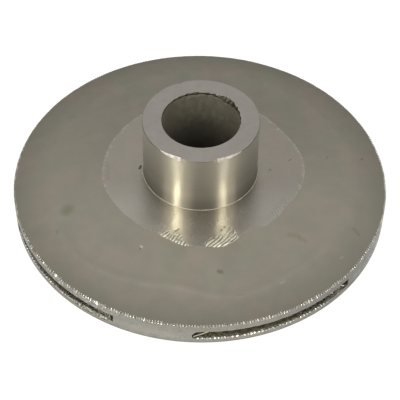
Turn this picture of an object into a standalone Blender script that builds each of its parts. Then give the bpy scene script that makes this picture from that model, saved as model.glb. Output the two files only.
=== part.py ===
"""A closed radial pump impeller, hub side up, standing on the end of its suction neck.

The real impeller is one stainless casting, turned on its rim, hub, land and neck. Here the casting is
divided at its natural junctions into turned rings and swept vanes, with a hairline between neighbours.
The axis is Z, and the origin is the centre of the suction neck's end face. Seen from -Y, the first
vane ends at the front of the rim.
"""

import math

import bmesh
import bpy

# Plan sizes, in metres
OUTER_RADIUS = 0.0762
LAND_RADIUS = 0.0405
HUB_RADIUS = 0.0232
BORE_RADIUS = 0.0155
NOSE_RADIUS = 0.0195
EYE_RADIUS = 0.028
NECK_RADIUS = 0.033

# Heights above the end of the suction neck
FRONT_RIM_Z = 0.0140
FRONT_EDGE = 0.0029
OUTLET_WIDTH = 0.0039
BACK_EDGE = 0.0035
LAND_RISE = 0.0060
HUB_LENGTH = 0.0270
NOSE_LENGTH = 0.0103
OUTLET_FLOOR_Z = FRONT_RIM_Z + FRONT_EDGE
OUTLET_ROOF_Z = OUTLET_FLOOR_Z + OUTLET_WIDTH
BACK_RIM_Z = OUTLET_ROOF_Z + BACK_EDGE
LAND_Z = BACK_RIM_Z + LAND_RISE
HUB_TOP_Z = LAND_Z + HUB_LENGTH
NOSE_END_Z = OUTLET_ROOF_Z - NOSE_LENGTH

# The front shroud falls towards the eye, a little steeper outside than inside
FLOOR_SLOPE = math.tan(math.radians(6.0))
FRONT_SLOPE = math.tan(math.radians(6.5))
THROAT_RADIUS = 0.007

# Edges
HUB_CHAMFER = 0.0007
BORE_CHAMFER = 0.0002
HUB_FILLET = 0.0004
RIM_CHAMFER = 0.0004
NECK_CHAMFER = 0.0006
NOSE_CHAMFER = 0.0010
NOSE_FILLET = 0.006
ARC_STEPS = 6

# Vanes: the blade angle is the slope of the spiral against the circle at that radius, and the spread
# is the angle at the axis between the vane's two faces
VANE_COUNT = 5
RIM_BLADE_ANGLE = math.radians(15.0)
EYE_BLADE_ANGLE = math.radians(25.0)
RIM_SPREAD = math.radians(23.4)
EYE_SPREAD = math.radians(12.0)
# The leading edge slants from the back shroud, inside the eye, out to the front shroud's throat
LEAD_RADIUS = 0.0262
THROAT_LEAD_RADIUS = 0.0310
LEAD_DEPTH = 0.0015
LEAD_NOSE_LENGTH = 0.0020
LEAD_BLUNTNESS = 0.25
VANE_ROWS = 26
VANE_COLUMNS = 4
FIRST_VANE_START = math.radians(-114.8)
# How far each passage core sat from its even fifth of the turn when the casting was poured
CORE_SHIFT = [math.radians(degrees) for degrees in (0.0, 2.6, 2.0, 1.3, 0.6)]

RING_SEGMENTS = 72
SEAT_GAP = 0.0003
SMOOTH_BELOW = math.radians(30.0)


def clear_scene():
    for item in list(bpy.data.objects):
        bpy.data.objects.remove(item, do_unlink=True)


def steel(name, colour, roughness):
    """A plain metal material."""
    material = bpy.data.materials.new(name)
    material.use_nodes = True
    shader = material.node_tree.nodes["Principled BSDF"]
    shader.inputs["Base Color"].default_value = (*colour, 1.0)
    shader.inputs["Metallic"].default_value = 1.0
    shader.inputs["Roughness"].default_value = roughness
    return material


def add_object(name, mesh_builder, material):
    """Writes a bmesh to a named object, faces outward and round faces shaded smooth."""
    bmesh.ops.recalc_face_normals(mesh_builder, faces=mesh_builder.faces)
    mesh = bpy.data.meshes.new(name)
    mesh_builder.to_mesh(mesh)
    mesh_builder.free()
    mesh.materials.append(material)
    mesh.shade_smooth()
    mesh.set_sharp_from_angle(angle=SMOOTH_BELOW)
    made = bpy.data.objects.new(name, mesh)
    bpy.context.scene.collection.objects.link(made)
    return made


def arc(centre, radius, start, end):
    """Points (r, z) along an arc from one angle to another, in degrees."""
    angles = [math.radians(start + (end - start) * i / ARC_STEPS) for i in range(ARC_STEPS + 1)]
    return [(centre[0] + radius * math.cos(a), centre[1] + radius * math.sin(a)) for a in angles]


def turned(name, outline, material):
    """A ring: a closed outline of (r, z) points spun once about the axis."""
    builder = bmesh.new()
    points = [builder.verts.new((r, 0.0, z)) for r, z in outline]
    edges = [builder.edges.new((a, b)) for a, b in zip(points, points[1:] + points[:1])]
    bmesh.ops.spin(
        builder,
        geom=points + edges,
        cent=(0.0, 0.0, 0.0),
        axis=(0.0, 0.0, 1.0),
        angle=2 * math.pi,
        steps=RING_SEGMENTS,
        use_merge=True,
    )
    return add_object(name, builder, material)


def throat_centre():
    """Centre (r, z) of the arc that turns the eye's wall into the passage floor, tangent to both."""
    r = EYE_RADIUS + THROAT_RADIUS
    slant = math.atan(FLOOR_SLOPE)
    touch_r = r - THROAT_RADIUS * math.sin(slant)
    touch_z = OUTLET_FLOOR_Z - (OUTER_RADIUS - touch_r) * FLOOR_SLOPE
    return r, touch_z - THROAT_RADIUS * math.cos(slant)


def passage_floor(r):
    """Height of the front shroud's inner face at a radius: a cone, and the throat arc inside it."""
    centre_r, centre_z = throat_centre()
    touch_r = centre_r - THROAT_RADIUS * math.sin(math.atan(FLOOR_SLOPE))
    if r >= touch_r:
        return OUTLET_FLOOR_Z - (OUTER_RADIUS - r) * FLOOR_SLOPE
    return centre_z + math.sqrt(THROAT_RADIUS**2 - (centre_r - r) ** 2)


def hub(material):
    """The long boss that the shaft passes through, with a chamfered top and a fillet at its foot."""
    foot_z = LAND_Z + SEAT_GAP
    foot = arc((HUB_RADIUS + HUB_FILLET, foot_z + HUB_FILLET), HUB_FILLET, 270, 180)
    outline = [
        (BORE_RADIUS, foot_z),
        *foot,
        (HUB_RADIUS, HUB_TOP_Z - HUB_CHAMFER),
        (HUB_RADIUS - HUB_CHAMFER, HUB_TOP_Z),
        (BORE_RADIUS + BORE_CHAMFER, HUB_TOP_Z),
        (BORE_RADIUS, HUB_TOP_Z - BORE_CHAMFER),
    ]
    return turned("hub", outline, material)


def back_shroud(material):
    """The disc behind the vanes: a raised flat land round the hub, then a cone down to the rim."""
    outline = [
        (BORE_RADIUS, OUTLET_ROOF_Z),
        (OUTER_RADIUS, OUTLET_ROOF_Z),
        (OUTER_RADIUS, BACK_RIM_Z - RIM_CHAMFER),
        (OUTER_RADIUS - RIM_CHAMFER, BACK_RIM_Z),
        (LAND_RADIUS, LAND_Z),
        (BORE_RADIUS, LAND_Z),
    ]
    return turned("back_shroud", outline, material)


def hub_nose(material):
    """The inner end of the hub, which turns the water from the eye into the passages."""
    top_z = OUTLET_ROOF_Z - SEAT_GAP
    fillet_centre = (NOSE_RADIUS + NOSE_FILLET, top_z - NOSE_FILLET)
    outline = [
        (BORE_RADIUS, top_z),
        *arc(fillet_centre, NOSE_FILLET, 90, 180),
        (NOSE_RADIUS, NOSE_END_Z + NOSE_CHAMFER),
        (NOSE_RADIUS - NOSE_CHAMFER, NOSE_END_Z),
        (BORE_RADIUS, NOSE_END_Z),
    ]
    return turned("hub_nose", outline, material)


def front_shroud(material):
    """The cone in front of the vanes, from the rim in to the neck."""
    inner_r = NECK_RADIUS + SEAT_GAP
    throat_r = throat_centre()[0] - THROAT_RADIUS * math.sin(math.atan(FLOOR_SLOPE))
    outline = [
        (inner_r, FRONT_RIM_Z - (OUTER_RADIUS - inner_r) * FRONT_SLOPE),
        (OUTER_RADIUS - RIM_CHAMFER, FRONT_RIM_Z),
        (OUTER_RADIUS, FRONT_RIM_Z + RIM_CHAMFER),
        (OUTER_RADIUS, OUTLET_FLOOR_Z),
        (throat_r, passage_floor(throat_r)),
        (inner_r, passage_floor(inner_r)),
    ]
    return turned("front_shroud", outline, material)


def suction_neck(material):
    """The ring round the eye that the impeller stands on, with the throat that leads to the passages."""
    centre = throat_centre()
    top_angle = math.degrees(math.acos((NECK_RADIUS - centre[0]) / THROAT_RADIUS))
    outline = [
        (EYE_RADIUS, NECK_CHAMFER),
        (EYE_RADIUS + NECK_CHAMFER, 0.0),
        (NECK_RADIUS - NECK_CHAMFER, 0.0),
        (NECK_RADIUS, NECK_CHAMFER),
        *arc(centre, THROAT_RADIUS, top_angle, 180),
    ]
    return turned("suction_neck", outline, material)


def vane_turn(r):
    """How far a vane has swept back between a radius and the rim, as an angle about the axis.

    On a spiral the angle grows by cot(blade angle) times the growth of ln(r). The cotangent goes
    evenly in ln(r) from its rim value to its eye value, so the turn is a parabola in ln(r).
    """
    rim_cot = 1.0 / math.tan(RIM_BLADE_ANGLE)
    eye_cot = 1.0 / math.tan(EYE_BLADE_ANGLE)
    whole = math.log(OUTER_RADIUS / LEAD_RADIUS)
    inward = math.log(OUTER_RADIUS / r)
    return rim_cot * inward + (eye_cot - rim_cot) * inward**2 / (2 * whole)


def vane_spread(r):
    """Angle between a vane's two faces: it grows evenly with radius, from a rounded leading edge."""
    share = (r - LEAD_RADIUS) / (OUTER_RADIUS - LEAD_RADIUS)
    spread = EYE_SPREAD + (RIM_SPREAD - EYE_SPREAD) * share
    inset = min(1.0, (r - LEAD_RADIUS) / LEAD_NOSE_LENGTH)
    rounding = math.sqrt(1.0 - (1.0 - inset) ** 2)
    return spread * (LEAD_BLUNTNESS + (1.0 - LEAD_BLUNTNESS) * rounding)


def vane_bottom(r):
    """Height of a vane's lower face: on the passage floor, or up the slanted leading edge inside it."""
    if r >= THROAT_LEAD_RADIUS:
        return passage_floor(r) + SEAT_GAP
    low = passage_floor(THROAT_LEAD_RADIUS) + SEAT_GAP
    high = OUTLET_ROOF_Z - SEAT_GAP - LEAD_DEPTH
    share = (THROAT_LEAD_RADIUS - r) / (THROAT_LEAD_RADIUS - LEAD_RADIUS)
    return low + (high - low) * share


def vane_radii():
    """Radii of a vane's rows: closer together near the leading edge than at the rim."""
    shares = [(i / VANE_ROWS) ** 1.5 for i in range(VANE_ROWS + 1)]
    return [LEAD_RADIUS + (OUTER_RADIUS - LEAD_RADIUS) * share for share in shares]


def vane(number, material):
    """One swept-back vane: a plan made of rows at constant radius, carried down to the passage floor."""
    rim_middle = (
        FIRST_VANE_START
        + RIM_SPREAD / 2
        + 2 * math.pi * number / VANE_COUNT
        + CORE_SHIFT[number]
    )
    top_z = OUTLET_ROOF_Z - SEAT_GAP
    builder = bmesh.new()
    tops = []
    bottoms = []
    for r in vane_radii():
        middle = rim_middle - vane_turn(r)
        angles = [middle + vane_spread(r) * (j / VANE_COLUMNS - 0.5) for j in range(VANE_COLUMNS + 1)]
        plan = [(r * math.cos(a), r * math.sin(a)) for a in angles]
        tops.append([builder.verts.new((x, y, top_z)) for x, y in plan])
        bottoms.append([builder.verts.new((x, y, vane_bottom(r))) for x, y in plan])
    for i in range(VANE_ROWS):
        for j in range(VANE_COLUMNS):
            builder.faces.new((tops[i][j], tops[i + 1][j], tops[i + 1][j + 1], tops[i][j + 1]))
            builder.faces.new((bottoms[i][j], bottoms[i][j + 1], bottoms[i + 1][j + 1], bottoms[i + 1][j]))
        for j in (0, VANE_COLUMNS):
            builder.faces.new((tops[i][j], tops[i + 1][j], bottoms[i + 1][j], bottoms[i][j]))
    for i in (0, VANE_ROWS):
        for j in range(VANE_COLUMNS):
            builder.faces.new((tops[i][j], tops[i][j + 1], bottoms[i][j + 1], bottoms[i][j]))
    return add_object(f"vane_{number + 1}", builder, material)


def build():
    clear_scene()
    turned_steel = steel("turned_steel", (0.50, 0.48, 0.44), 0.25)
    cast_steel = steel("cast_steel", (0.42, 0.40, 0.36), 0.45)
    hub(turned_steel)
    back_shroud(cast_steel)
    hub_nose(cast_steel)
    for number in range(VANE_COUNT):
        vane(number, cast_steel)
    front_shroud(cast_steel)
    suction_neck(turned_steel)


build()
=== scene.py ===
"""The looks of a closed pump impeller: a stainless steel casting, turned on its hub, land, rim and neck.

It lies hub up and is seen from the -Y side. Azimuths are degrees round the shaft axis, 0 at -Y and growing
towards +X. Lengths are metres. Every turned piece is an outline in the half plane of radius and height,
listed anticlockwise and carried once round the axis, so its faces point outward.
"""

import math

import bpy
import numpy as np
from mathutils import Matrix, Vector


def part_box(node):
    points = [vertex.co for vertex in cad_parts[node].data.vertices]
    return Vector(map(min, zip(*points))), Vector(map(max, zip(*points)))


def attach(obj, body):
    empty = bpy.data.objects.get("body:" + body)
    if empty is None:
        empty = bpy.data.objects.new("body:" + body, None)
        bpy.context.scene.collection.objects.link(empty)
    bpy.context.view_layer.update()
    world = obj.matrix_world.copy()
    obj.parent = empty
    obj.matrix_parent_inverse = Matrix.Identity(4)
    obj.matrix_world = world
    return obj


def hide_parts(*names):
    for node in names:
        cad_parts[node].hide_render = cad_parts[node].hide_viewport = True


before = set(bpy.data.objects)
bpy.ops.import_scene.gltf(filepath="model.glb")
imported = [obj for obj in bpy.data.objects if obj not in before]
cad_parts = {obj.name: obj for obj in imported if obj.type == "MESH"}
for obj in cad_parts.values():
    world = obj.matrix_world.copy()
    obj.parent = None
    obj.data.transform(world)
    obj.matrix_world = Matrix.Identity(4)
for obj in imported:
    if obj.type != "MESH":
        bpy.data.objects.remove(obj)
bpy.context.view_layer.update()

MM = 0.001
SHARP_TURN = math.radians(32.0)

# Plan sizes and heights of the casting, the same as in the solids
OUTER_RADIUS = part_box("back_shroud")[1].x
LAND_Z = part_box("back_shroud")[1].z
ROOF_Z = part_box("back_shroud")[0].z
HUB_TOP_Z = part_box("hub")[1].z
HUB_FILLET = 0.4 * MM
HUB_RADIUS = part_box("hub")[1].x - HUB_FILLET
HUB_CHAMFER = 0.7 * MM
BORE_RADIUS = 15.5 * MM
LAND_RADIUS = 40.5 * MM
NOSE_RADIUS = 19.5 * MM
NOSE_CHAMFER = 1.0 * MM
NOSE_FILLET = 6.0 * MM
NOSE_END_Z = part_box("hub_nose")[0].z
EYE_RADIUS = 28.0 * MM
NECK_RADIUS = 33.0 * MM
NECK_CHAMFER = 0.6 * MM
THROAT_RADIUS = 7.0 * MM
OUTLET_WIDTH = 3.9 * MM
BACK_RIM_Z = 24.3 * MM
FRONT_RIM_Z = 14.0 * MM
FLOOR_Z = ROOF_Z - OUTLET_WIDTH
FLOOR_SLOPE = math.tan(math.radians(6.0))
FRONT_SLOPE = math.tan(math.radians(6.5))
RIM_CHAMFER = 0.4 * MM
# The rim's own pieces reach in to SEAM, and hidden joints reach SUNK into their neighbour
SEAM = OUTER_RADIUS - 1.2 * MM
SUNK = 0.4 * MM

# Relief of the cast skin: the pattern's ridge and step, soft waves, and the passages' sand grain
RIDGE_HEIGHT = 0.10 * MM
RIDGE_STEP = 0.03 * MM
WAVE_HEIGHT = 0.05 * MM
SKIN_RELIEF = 0.12 * MM
SKIN_CELL = 2.2 * MM
# How far the land's edge is broken down under the deepest chatter
EDGE_BREAK = 0.22 * MM

# Vanes: cotangents of the blade angle, angles between a vane's two faces, and the slanted leading edge
VANE_COUNT = 5
RIM_COT = 1.0 / math.tan(math.radians(15.0))
EYE_COT = 1.0 / math.tan(math.radians(25.0))
RIM_SPREAD = math.radians(23.4)
EYE_SPREAD = math.radians(12.0)
LEAD_RADIUS = 26.2 * MM
THROAT_LEAD_RADIUS = 31.0 * MM
LEAD_DEPTH = 1.5 * MM
LEAD_NOSE_LENGTH = 2.0 * MM
LEAD_BLUNTNESS = 0.25
FIRST_VANE_START = math.radians(-24.8)
# How far each passage core sat from its even fifth of the turn when the casting was poured
CORE_SHIFT = np.radians([0.0, 2.6, 2.0, 1.3, 0.6])
# The vanes' fillets at roof and floor: radius, and share of the passage's height
ROOF_FLARE = (0.40 * MM, 0.60)
FLOOR_FLARE = (0.39 * MM, 0.25)

# Where the flat land meets the uneven cast cone, as (azimuth, radius in mm) all round
LAND_EDGE = [(-140.4, 39.8), (-120.2, 39.5), (-98.0, 39.6), (-72.1, 40.1), (-58.2, 39.5), (-44.3, 39.4),
             (-23.6, 39.7), (-18.7, 40.2), (-7.9, 42.2), (1.5, 42.2), (13.8, 42.8), (22.6, 40.2),
             (27.0, 38.7), (33.4, 38.7), (40.4, 40.6), (61.2, 40.2), (70.1, 41.3), (80.1, 42.2),
             (99.1, 42.4), (110.1, 41.6), (122.2, 40.7), (141.4, 41.1), (180.0, 40.1)]
# A low ridge that the pattern left on the cast cone
PATTERN_RIDGE = [(-88, 63.5), (-66, 64.8), (-55, 63.9), (-44, 64.8), (-34, 63.6), (-21, 61.6), (-7, 60.1),
                 (6, 63.6), (16, 64.5), (27, 63.2), (47, 62.4), (98, 65.6), (110, 64.5), (132, 63.4),
                 (180, 63.8), (-140, 63.6)]
# How deep the turning tool chattered at the land's edge, and how far in from it, as (azimuth, mm) all round
CHATTER_DEPTH = [(-180, 0.002), (-125, 0.003), (-60, 0.003), (-28, 0.006), (-23, 0.05), (-20, 0.09),
                 (-8, 0.095), (-4.5, 0.03), (-1, 0.005), (3, 0.04), (6, 0.08), (18, 0.10), (21, 0.07),
                 (24, 0.01), (38, 0.006), (60, 0.004), (80, 0.003), (120, 0.002)]
CHATTER_REACH = [(-180, 2), (-125, 2.5), (-60, 2.5), (-28, 3), (-23, 3.5), (-18, 6), (-10, 6), (-4, 3.5),
                 (3, 4), (8, 7), (14, 7.5), (20, 7), (24, 4.5), (45, 3), (80, 3), (120, 2)]


# Shapes as whole arrays

def place(r, az, z):
    """Points at a radius, an azimuth in radians and a height: x = r sin(az), y = -r cos(az)."""
    r, az, z = np.broadcast_arrays(r, az, z)
    return np.stack([r * np.sin(az), -r * np.cos(az), z], axis=-1)


def around(columns):
    """Evenly spaced azimuths in radians, once round from -180 degrees."""
    return -math.pi + 2 * math.pi * np.arange(columns) / columns


def smooth(low, high, value):
    """0 below low, 1 above high, and 3t^2 - 2t^3 between them."""
    t = np.clip((value - low) / (high - low), 0.0, 1.0)
    return t * t * (3 - 2 * t)


def span(az, start, end, soft):
    """1 between two azimuths in degrees and 0 outside them, easing over soft degrees inside the ends."""
    degrees = np.degrees(az)
    return smooth(start, start + soft, degrees) * (1 - smooth(end - soft, end, degrees))


def bell(offset, width):
    """A bell curve: 1 where the offset is 0, falling to 1/e a width away."""
    return np.exp(-((offset / width) ** 2))


def closed_curve(knots, az):
    """A smooth periodic curve through (degrees, mm) knots: cubic pieces, with slopes from the neighbours."""
    knots = np.array(sorted(knots), float)
    at = np.radians(knots[:, 0])
    value = knots[:, 1] * MM
    at = np.concatenate([at[-2:] - 2 * math.pi, at, at[:3] + 2 * math.pi])
    value = np.concatenate([value[-2:], value, value[:3]])
    slope = np.gradient(value, at)
    i = np.clip(np.searchsorted(at, az, side="right") - 1, 0, len(at) - 2)
    width = at[i + 1] - at[i]
    t = (az - at[i]) / width
    start = (1 + 2 * t) * (1 - t) ** 2 * value[i] + t * (1 - t) ** 2 * width * slope[i]
    end = t * t * (3 - 2 * t) * value[i + 1] + t * t * (t - 1) * width * slope[i + 1]
    return start + end


def scatter(i, j, k, seed):
    """A repeatable value from -1 to 1 for each whole-number lattice point, mixed from its coordinates."""
    n = (i * 73856093) ^ (j * 19349663) ^ (k * 83492791) ^ (seed * 50331653)
    n = ((n ^ (n >> 13)) * 1274126177) & 0xFFFFFFFF
    n = ((n ^ (n >> 15)) * 97531) & 0xFFFFFFFF
    n = n ^ (n >> 16)
    return (n & 0xFFFF) / 32767.5 - 1.0


def grain(points, cell, seed):
    """Value noise from -1 to 1: the scattered values at a cell's eight corners, eased between them."""
    scaled = points / cell
    low = np.floor(scaled).astype(np.int64)
    t = scaled - low
    t = t * t * (3 - 2 * t)
    total = 0.0
    for corner in range(8):
        step = np.array([corner & 1, (corner >> 1) & 1, corner >> 2])
        weight = np.prod(np.where(step, t, 1 - t), axis=-1)
        total = total + weight * scatter(*np.moveaxis(low + step, -1, 0), seed)
    return total


def rough_grain(points, cell, seed):
    """Value noise added up at three cell sizes, each half as large and half as strong as the last."""
    return sum(grain(points, cell / 2**n, seed + n) * 0.5**n for n in range(3))


class Outline:
    """An anticlockwise outline of (radius, height) rows, joined by strips that each have a finish.

    A radius, height or finish is one number, or one for each azimuth.
    """

    def __init__(self, r, z):
        self.radii = [r]
        self.heights = [z]
        self.strips = []

    def line(self, r, z, finish=0, rows=1):
        """A straight run to (r, z)."""
        r0, z0 = self.radii[-1], self.heights[-1]
        for share in np.linspace(0.0, 1.0, rows + 1)[1:]:
            self.radii.append(r0 + (r - r0) * share)
            self.heights.append(z0 + (z - z0) * share)
            self.strips.append(finish)

    def curve(self, radii, heights, finish=0):
        """Rows at the given radii and heights, with one finish for all their strips or a list of finishes."""
        self.radii.extend(radii)
        self.heights.extend(heights)
        self.strips.extend(finish if isinstance(finish, list) else [finish] * len(radii))

    def arc(self, centre, radius, start, end, finish, rows):
        """An arc about (r, z) between two angles in degrees, 0 pointing outward and 90 up."""
        angles = np.radians(np.linspace(start, end, rows + 1)[1:])
        radii = centre[0] + radius * np.cos(angles)
        heights = centre[1] + radius * np.sin(angles)
        self.curve(list(radii), list(heights), finish)

    def turned(self, az, relief=None):
        """The rows at every azimuth, pushed out along the outline's own normal by relief(points)."""
        r = np.stack([np.broadcast_to(value, az.shape) for value in self.radii])
        z = np.stack([np.broadcast_to(value, az.shape) for value in self.heights])
        points = place(r, az, z)
        if relief is None:
            return points
        dr = np.roll(r, -1, axis=0) - np.roll(r, 1, axis=0)
        dz = np.roll(z, -1, axis=0) - np.roll(z, 1, axis=0)
        length = np.maximum(np.hypot(dr, dz), 1e-9)
        push = relief(points)
        return place(r + push * dz / length, az, z - push * dr / length)

    def row_mask(self, *finishes):
        """1 on each row whose two strips both have one of the finishes, in a column that fits the points."""
        closed = [np.all(np.isin(strip, finishes)) for strip in self.strips + [self.strips[-1]]]
        return np.array([closed[i] and closed[i - 1] for i in range(len(closed))], float)[:, None]


def write_mesh(name, points, quads, materials, finish):
    """An object with its place in its mesh, shaded smooth except across sharp turns."""
    mesh = bpy.data.meshes.new(name)
    mesh.vertices.add(len(points))
    mesh.vertices.foreach_set("co", points.astype(np.float32).ravel())
    mesh.loops.add(quads.size)
    mesh.loops.foreach_set("vertex_index", quads.astype(np.int32).ravel())
    mesh.polygons.add(len(quads))
    mesh.polygons.foreach_set("loop_start", np.arange(0, quads.size, quads.shape[1], dtype=np.int32))
    for material in materials:
        mesh.materials.append(material)
    mesh.polygons.foreach_set("material_index", finish.astype(np.int32))
    mesh.update(calc_edges=True)
    mesh.validate()
    mesh.shade_smooth()
    mesh.set_sharp_from_angle(angle=SHARP_TURN)
    made = bpy.data.objects.new(name, mesh)
    bpy.context.scene.collection.objects.link(made)
    return made


def ring_piece(name, outline, az, materials, relief=None):
    """A closed ring: each row joins the next and the last joins the first, both ways round."""
    points = outline.turned(az, relief)
    rows, columns = points.shape[:2]
    here = np.arange(rows * columns).reshape(rows, columns)
    beside = np.roll(here, -1, axis=1)
    above = np.roll(here, -1, axis=0)
    quads = np.stack([here, beside, np.roll(beside, -1, axis=0), above], axis=-1).reshape(-1, 4)
    strips = [np.broadcast_to(strip, az.shape) for strip in outline.strips + [outline.strips[-1]]]
    return write_mesh(name, points.reshape(-1, 3), quads, materials, np.concatenate(strips))


def finished(piece, slot, *nodes):
    """Hangs a piece on the root body and hides the solids that it stands for. The slot, a finish name, is not
    used.
    """
    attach(piece, "root")
    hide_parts(*nodes)
    return piece


# Heights of the casting's faces

def throat():
    """Centre (r, z) of the arc from the eye's wall to the passage floor, and the radius where it ends."""
    slant = math.atan(FLOOR_SLOPE)
    r = EYE_RADIUS + THROAT_RADIUS
    touch_r = r - THROAT_RADIUS * math.sin(slant)
    touch_z = FLOOR_Z - (OUTER_RADIUS - touch_r) * FLOOR_SLOPE
    return r, touch_z - THROAT_RADIUS * math.cos(slant), touch_r


def floor_height(r):
    """The passage floor: a cone that falls towards the eye, and the throat's arc inside it."""
    centre_r, centre_z, touch_r = throat()
    cone = FLOOR_Z - (OUTER_RADIUS - r) * FLOOR_SLOPE
    arc = centre_z + np.sqrt(np.maximum(THROAT_RADIUS**2 - (centre_r - r) ** 2, 0.0))
    return np.where(np.asarray(r) >= touch_r, cone, arc)


def under_height(r):
    """The front shroud's outer face, which falls towards the neck."""
    return FRONT_RIM_Z - (OUTER_RADIUS - r) * FRONT_SLOPE


def broken_edge(az):
    """How far the land's edge is broken down, where the chatter is deep."""
    return EDGE_BREAK * smooth(0.03 * MM, 0.09 * MM, closed_curve(CHATTER_DEPTH, az))


def cone_height(r, az):
    """The cast back face: a cone from the land's edge to the rim, with the pattern's ridge and soft waves.

    The ridge is a bell curve with a small step down on its outer side. Where the land's edge is broken down,
    the cone starts as much lower and catches up within a few millimetres.
    """
    edge = closed_curve(LAND_EDGE, az)
    slope = (LAND_Z - BACK_RIM_Z) / (OUTER_RADIUS - edge)
    past = r - closed_curve(PATTERN_RIDGE, az)
    ridge = RIDGE_HEIGHT * bell(past + 0.6 * MM, 1.8 * MM) - RIDGE_STEP * smooth(0, 1.2 * MM, past)
    shown = 0.35 + 0.65 * span(az, -100, 60, 30)
    away = smooth(0.5 * MM, 5 * MM, r - edge) * smooth(0.2 * MM, 4 * MM, OUTER_RADIUS - r)
    waves = WAVE_HEIGHT * rough_grain(place(r, az, 0.0), 14 * MM, 11) * away
    broken = broken_edge(az) * bell(r - edge, 3 * MM)
    return LAND_Z - (r - edge) * slope + ridge * shown * away + waves - broken


# Finishes

class Recipe:
    """The nodes of one finish. Most methods add a node and give the socket that it fills."""

    def __init__(self, name, roughness, metallic=1.0, anisotropic=0.0):
        self.material = bpy.data.materials.new(name)
        self.material.use_nodes = True
        self.tree = self.material.node_tree
        self.shader = self.tree.nodes["Principled BSDF"]
        self.shader.inputs["Metallic"].default_value = metallic
        self.shader.inputs["Roughness"].default_value = roughness
        self.shader.inputs["Anisotropic"].default_value = anisotropic
        self.height = None
        self.where = self.add("ShaderNodeTexCoord").outputs["Object"]

    def add(self, kind, **settings):
        node = self.tree.nodes.new(kind)
        for key, value in settings.items():
            setattr(node, key, value)
        return node

    def feed(self, node, socket, value):
        """Links a socket to another node's output, or sets its value."""
        if isinstance(value, bpy.types.NodeSocket):
            self.tree.links.new(value, node.inputs[socket])
        else:
            node.inputs[socket].default_value = value

    def stretch(self, sizes, source=None):
        """Coordinates divided by a cell size along X, Y and Z, so that one unit is one cell."""
        node = self.add("ShaderNodeMapping")
        self.feed(node, "Vector", source or self.where)
        node.inputs["Scale"].default_value = [1.0 / size for size in sizes]
        return node.outputs["Vector"]

    def noise(self, cell, detail, source=None):
        """Noise from 0 to 1 whose blotches are one cell wide. A cell may be one size or three."""
        sizes = cell if isinstance(cell, tuple) else (cell, cell, cell)
        node = self.add("ShaderNodeTexNoise")
        self.feed(node, "Vector", self.stretch(sizes, source))
        node.inputs["Scale"].default_value = 1.0
        node.inputs["Detail"].default_value = detail
        return node.outputs["Fac"]

    def radius(self):
        """Distance from the shaft axis."""
        flat = self.add("ShaderNodeVectorMath", operation="MULTIPLY")
        self.feed(flat, 0, self.where)
        flat.inputs[1].default_value = (1.0, 1.0, 0.0)
        length = self.add("ShaderNodeVectorMath", operation="LENGTH")
        self.feed(length, 0, flat.outputs["Vector"])
        return length.outputs["Value"]

    def rings(self, cell):
        """Noise that changes only with the distance from the shaft axis, as lathe grooves do."""
        joined = self.add("ShaderNodeCombineXYZ")
        self.feed(joined, "X", self.radius())
        return self.noise(cell, 2, joined.outputs["Vector"])

    def graded(self, value, low, high, start=0.0, end=1.0):
        """Maps low..high evenly to start..end, and holds the ends."""
        node = self.add("ShaderNodeMapRange")
        for socket, number in zip(("Value", "From Min", "From Max", "To Min", "To Max"),
                                  (value, low, high, start, end)):
            self.feed(node, socket, number)
        return node.outputs["Result"]

    def combined(self, a, b, operation="ADD"):
        """Two numbers added up, or joined by another operation."""
        node = self.add("ShaderNodeMath", operation=operation)
        self.feed(node, 0, a)
        self.feed(node, 1, b)
        return node.outputs["Value"]

    def blend(self, share, a, b, kind="MIX"):
        """Colour a turned into colour b by a share from 0 to 1."""
        node = self.add("ShaderNodeMix", data_type="RGBA", blend_type=kind)
        self.feed(node, 0, share)
        for number, colour in ((6, a), (7, b)):
            self.feed(node, number, colour if isinstance(colour, bpy.types.NodeSocket) else (*colour, 1.0))
        return node.outputs[2]

    def dimmed(self, base, share):
        """A colour times a number."""
        return self.blend(1.0, base, share, "MULTIPLY")

    def mottle(self, cell, detail, one, other, low=0.3, high=0.7, most=1.0):
        """One colour where the noise is below low, turning into another, or most of it, above high."""
        return self.blend(self.graded(self.noise(cell, detail), low, high, 0.0, most), one, other)

    def level(self, axis="Z"):
        """Height above the floor, or the place along another axis."""
        node = self.add("ShaderNodeSeparateXYZ")
        self.feed(node, "Vector", self.where)
        return node.outputs[axis]

    def faded(self, base, axis, low, high, start, end):
        """A colour times a number that goes evenly from start to end between two places along an axis."""
        return self.dimmed(base, self.graded(self.level(axis), low, high, start, end))

    def stroke(self, start, end, width):
        """1 along a short line between two places of the part, fading out over most of its width.

        A place is (azimuth in degrees, radius, height). The distance is taken to the nearest point of the
        line: the offset from its start, less its own part along the line, held between the two ends.
        """
        near, far = (Vector(place(r, math.radians(az), z).tolist()) for az, r, z in (start, end))
        along = (far - near).normalized()
        reach = (far - near).length
        offset = self.add("ShaderNodeVectorMath", operation="SUBTRACT")
        self.feed(offset, 0, self.where)
        offset.inputs[1].default_value = near
        share = self.add("ShaderNodeVectorMath", operation="DOT_PRODUCT")
        self.feed(share, 0, offset.outputs["Vector"])
        share.inputs[1].default_value = along
        nearest = self.add("ShaderNodeVectorMath", operation="SCALE")
        nearest.inputs[0].default_value = along
        self.feed(nearest, "Scale", self.graded(share.outputs["Value"], 0.0, reach, 0.0, reach))
        gap = self.add("ShaderNodeVectorMath", operation="DISTANCE")
        self.feed(gap, 0, offset.outputs["Vector"])
        self.feed(gap, 1, nearest.outputs["Vector"])
        return self.graded(gap.outputs["Value"], width * (1 - MARK_SOFTNESS), width, 1.0, 0.0)

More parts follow.
